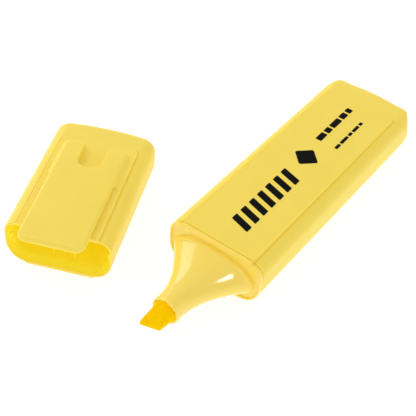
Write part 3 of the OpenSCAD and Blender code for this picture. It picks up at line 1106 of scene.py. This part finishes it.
def print_ink():
    """Black pad-printed ink, a little uneven."""
    made = Nodes("print_ink")
    patchy = made.noise(1800.0, 3.0, 0.6)
    made.link(
        made.ramp(patchy, [(0.35, (0.001, 0.001, 0.001)), (0.8, (0.004, 0.003, 0.002))]),
        made.shader.inputs["Base Color"],
    )
    made.link(made.span(patchy, 0.6, 0.8), made.shader.inputs["Roughness"])
    made.link(made.bump(patchy, 0.3, 0.00002), made.shader.inputs["Normal"])
    made.shader.inputs["Specular IOR Level"].default_value = 0.08
    return made.material


def clear_film():
    """Thin film round the filler."""
    made = Nodes("filler_film")
    wrinkles = made.noise(260.0, 3.0, 0.5, (0.3, 1.0, 1.0))
    made.link(
        made.ramp(wrinkles, [(0.3, (0.86, 0.86, 0.80)), (0.7, (0.93, 0.93, 0.89))]),
        made.shader.inputs["Base Color"],
    )
    made.link(made.span(wrinkles, 0.15, 0.3), made.shader.inputs["Roughness"])
    made.link(made.bump(wrinkles, 0.3, 0.0001), made.shader.inputs["Normal"])
    return made.material


def floor_paper():
    """White studio table, faintly mottled, with a glow of its own that keeps it white."""
    made = Nodes("studio_table")
    soft = made.noise(6.0, 2.0, 0.5)
    made.link(
        made.ramp(soft, [(0.3, (0.24, 0.24, 0.24)), (0.7, (0.26, 0.26, 0.26))]),
        made.shader.inputs["Base Color"],
    )
    made.shader.inputs["Roughness"].default_value = 0.8
    made.shader.inputs["Specular IOR Level"].default_value = 0.1
    made.shader.inputs["Emission Color"].default_value = (1.0, 1.0, 1.0, 1.0)
    made.shader.inputs["Emission Strength"].default_value = 0.86
    return made.material


def wear(obj, material):
    """Gives an object one material."""
    obj.data.materials.clear()
    obj.data.materials.append(material)


# ---------------------------------------------------------------- assembly

shell_plastic = moulded_plastic("satin_shell", YELLOW, 0.38, 0.5, 5200.0, 0.000012)
nose_plastic = moulded_plastic("glossy_nose", GLOSSY_YELLOW, 0.1, 0.16, 2600.0, 0.000003, 0.5, 0.3)
# Painted shade: the cap's hollow is the shell's own plastic, coloured deeper for the shade inside it
hollow_shade_plastic = moulded_plastic("cap_hollow_shade", HOLLOW_SHADE_YELLOW, 0.38, 0.5, 5200.0, 0.000012)
# Painted shade: the sealing cup sits deep in the cap's hollow and takes its deeper yellow
cup_shade_plastic = moulded_plastic("sealing_cup", HOLLOW_SHADE_YELLOW, 0.3, 0.42, 4200.0, 0.00001)
felt = soaked_felt("nib_felt", NIB_YELLOW, NIB_DEEP)

barrel = build_barrel()
wear(barrel, shell_plastic)
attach(barrel, "marker")
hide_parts("barrel_shell")

nose = build_section()
wear(nose, nose_plastic)
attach(nose, "marker")
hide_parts("section")

nib = build_nib()
wear(nib, felt)
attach(nib, "marker")
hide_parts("nib")

marks = build_print()
wear(marks, print_ink())
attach(marks, "marker")
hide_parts("print_marks")

cap = build_cap()
wear(cap, shell_plastic)
paint_hollow_shade(cap, hollow_shade_plastic)
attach(cap, "cap")
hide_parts("cap_shell")

cup = build_inner_cap()
wear(cup, cup_shade_plastic)
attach(cup, "cap")
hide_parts("inner_cap")

clip = build_clip()
wear(clip, shell_plastic)
to_row = cap_matrix()
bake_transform(clip)
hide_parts("clip")

wear(frame["nodes"]["ink_reservoir"], soaked_felt("filler_fibre", FILLER_YELLOW, FILLER_DEEP))
wear(frame["nodes"]["reservoir_film"], clear_film())

# ---------------------------------------------------------------- studio


def studio_floor():
    """A wide level table, eased up towards its edges."""
    size = 1.6
    steps = 24
    level_r = 1.2
    verts, faces = [], []
    for i in range(steps + 1):
        for j in range(steps + 1):
            x = -size + 2 * size * i / steps
            y = -size + 2 * size * j / steps
            rise = max(0.0, math.hypot(x, y) - level_r)
            verts.append((x, y, rise * rise * 1.5))
    for i in range(steps):
        for j in range(steps):
            a = i * (steps + 1) + j
            faces.append((a, a + 1, a + steps + 2, a + steps + 1))
    mesh = bpy.data.meshes.new("studio_table")
    mesh.from_pydata(verts, [], faces)
    mesh.shade_smooth()
    obj = bpy.data.objects.new("studio_table", mesh)
    bpy.context.scene.collection.objects.link(obj)
    wear(obj, floor_paper())
    return obj


def area_light(name, place, target, size_x, size_y, power):
    """A soft box aimed at a point."""
    data = bpy.data.lights.new(name, "AREA")
    data.shape = "RECTANGLE"
    data.size = size_x
    data.size_y = size_y
    data.energy = power
    obj = bpy.data.objects.new(name, data)
    obj.location = place
    aim = Vector(target) - Vector(place)
    obj.rotation_mode = "QUATERNION"
    obj.rotation_quaternion = aim.to_track_quat("-Z", "Y")
    bpy.context.scene.collection.objects.link(obj)
    return obj


def soft_world(strength):
    """Even white surroundings."""
    world = bpy.data.worlds.new("studio")
    world.use_nodes = True
    background = world.node_tree.nodes["Background"]
    background.inputs["Color"].default_value = (1.0, 1.0, 1.0, 1.0)
    background.inputs["Strength"].default_value = strength
    bpy.context.scene.world = world


def aimed_camera(place, azimuth, elevation, roll, lens):
    """Camera that looks along a heading, down by an elevation, turned by a roll, all in degrees."""
    az, el, turn = (math.radians(angle) for angle in (azimuth, elevation, roll))
    ahead = Vector((math.cos(el) * math.cos(az), math.cos(el) * math.sin(az), -math.sin(el)))
    level = ahead.cross(Vector((0.0, 0.0, 1.0))).normalized()
    upright = level.cross(ahead)
    right = level * math.cos(turn) + upright * math.sin(turn)
    up = upright * math.cos(turn) - level * math.sin(turn)
    data = bpy.data.cameras.new("camera")
    data.lens = lens
    data.sensor_width = 36.0
    data.clip_start = 0.01
    data.clip_end = 20.0
    obj = bpy.data.objects.new("camera", data)
    turn_matrix = Matrix((right, up, -ahead)).transposed()
    obj.matrix_world = Matrix.Translation(Vector(place)) @ turn_matrix.to_4x4()
    bpy.context.scene.collection.objects.link(obj)
    bpy.context.scene.camera = obj


studio_floor()
soft_world(strength=0.72)
area_light("key", (0.04, 0.74, 0.53), target=(-0.02, 0.01, 0.0), size_x=0.8, size_y=0.45, power=2.4)
strip = area_light(
    "strip", (-0.08, -0.31, 0.72), target=(-0.045, 0.0, 0.01), size_x=0.26, size_y=0.14, power=2.0
)
strip.visible_diffuse = False
aimed_camera((-0.17585, -0.08362, 0.18343), azimuth=32.36, elevation=44.56, roll=5.64, lens=85.21)
bpy.context.scene.view_settings.view_transform = "Standard"
